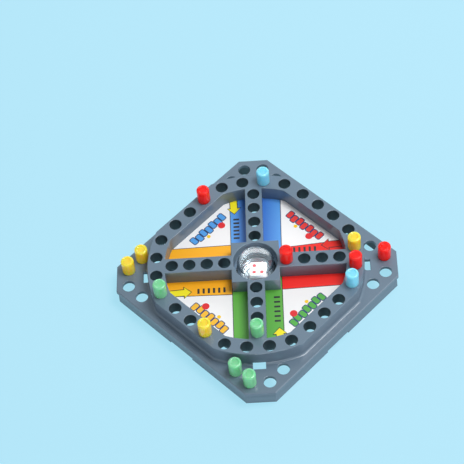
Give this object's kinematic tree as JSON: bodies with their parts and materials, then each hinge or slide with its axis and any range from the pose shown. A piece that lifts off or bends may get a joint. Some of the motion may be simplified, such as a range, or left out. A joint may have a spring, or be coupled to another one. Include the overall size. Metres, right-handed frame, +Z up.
{
  "type": "pop-up dice board game",
  "caption": "Square pocket board game with a raised track of peg holes, home corners, standing pegs and a press-down dome that pops a die.",
  "frame": {"origin": "centre of the square base on the table", "axes": "+Z up, X and Y along the square's sides, the four arms on the diagonals"},
  "size_m": [0.135, 0.135, 0.0329],
  "materials": {
    "board_plastic": "moulded, satin",
    "screw_steel": "zinc plated",
    "clear_plastic": "clear, polished",
    "spring_steel": "bright, turned rings",
    "die_plastic": "gloss",
    "printed_card": "printed, coated",
    "peg_red": "waxy, satin",
    "peg_yellow": "waxy, satin",
    "peg_green": "waxy, satin",
    "peg_blue": "waxy, satin"
  },
  "bodies": {
    "root": {"game_board": "board_plastic", "floor_plate": "board_plastic", "plate_screws": "screw_steel", "card_red": "printed_card", "card_blue": "printed_card", "card_yellow": "printed_card", "card_green": "printed_card"},
    "popper": {"dome": "clear_plastic", "snap_disc": "spring_steel", "disc_retainer": "board_plastic"},
    "die": {"die": "die_plastic"},
    "peg_red_1": {"peg_red_1": "peg_red"},
    "peg_red_2": {"peg_red_2": "peg_red"},
    "peg_red_3": {"peg_red_3": "peg_red"},
    "peg_red_4": {"peg_red_4": "peg_red"},
    "peg_yellow_1": {"peg_yellow_1": "peg_yellow"},
    "peg_yellow_2": {"peg_yellow_2": "peg_yellow"},
    "peg_yellow_3": {"peg_yellow_3": "peg_yellow"},
    "peg_yellow_4": {"peg_yellow_4": "peg_yellow"},
    "peg_green_1": {"peg_green_1": "peg_green"},
    "peg_green_2": {"peg_green_2": "peg_green"},
    "peg_green_3": {"peg_green_3": "peg_green"},
    "peg_green_4": {"peg_green_4": "peg_green"},
    "peg_blue_1": {"peg_blue_1": "peg_blue"},
    "peg_blue_2": {"peg_blue_2": "peg_blue"}
  },
  "joints": [
    {"name": "dome_press", "type": "slide", "parent": "root", "child": "popper", "axis": [0, 0, -1], "range_m": [0, 0.002], "stiffness_N_per_m": 1000},
    {"name": "die_hop", "type": "slide", "parent": "popper", "child": "die", "axis": [-0.5148, 0.1716, 0.84], "range_m": [0, 0.005]},
    {"name": "lift_red_1", "type": "slide", "parent": "root", "child": "peg_red_1", "axis": [0, 0, 1], "range_m": [0, 0.02]},
    {"name": "lift_red_2", "type": "slide", "parent": "root", "child": "peg_red_2", "axis": [0, 0, 1], "range_m": [0, 0.02]},
    {"name": "lift_red_3", "type": "slide", "parent": "root", "child": "peg_red_3", "axis": [0, 0, 1], "range_m": [0, 0.02]},
    {"name": "lift_red_4", "type": "slide", "parent": "root", "child": "peg_red_4", "axis": [0, 0, 1], "range_m": [0, 0.02]},
    {"name": "lift_yellow_1", "type": "slide", "parent": "root", "child": "peg_yellow_1", "axis": [0, 0, 1], "range_m": [0, 0.02]},
    {"name": "lift_yellow_2", "type": "slide", "parent": "root", "child": "peg_yellow_2", "axis": [0, 0, 1], "range_m": [0, 0.02]},
    {"name": "lift_yellow_3", "type": "slide", "parent": "root", "child": "peg_yellow_3", "axis": [0, 0, 1], "range_m": [0, 0.02]},
    {"name": "lift_yellow_4", "type": "slide", "parent": "root", "child": "peg_yellow_4", "axis": [0, 0, 1], "range_m": [0, 0.02]},
    {"name": "lift_green_1", "type": "slide", "parent": "root", "child": "peg_green_1", "axis": [0, 0, 1], "range_m": [0, 0.02]},
    {"name": "lift_green_2", "type": "slide", "parent": "root", "child": "peg_green_2", "axis": [0, 0, 1], "range_m": [0, 0.02]},
    {"name": "lift_green_3", "type": "slide", "parent": "root", "child": "peg_green_3", "axis": [0, 0, 1], "range_m": [0, 0.02]},
    {"name": "lift_green_4", "type": "slide", "parent": "root", "child": "peg_green_4", "axis": [0, 0, 1], "range_m": [0, 0.02]},
    {"name": "lift_blue_1", "type": "slide", "parent": "root", "child": "peg_blue_1", "axis": [0, 0, 1], "range_m": [0, 0.02]},
    {"name": "lift_blue_2", "type": "slide", "parent": "root", "child": "peg_blue_2", "axis": [0, 0, 1], "range_m": [0, 0.02]}
  ]
}
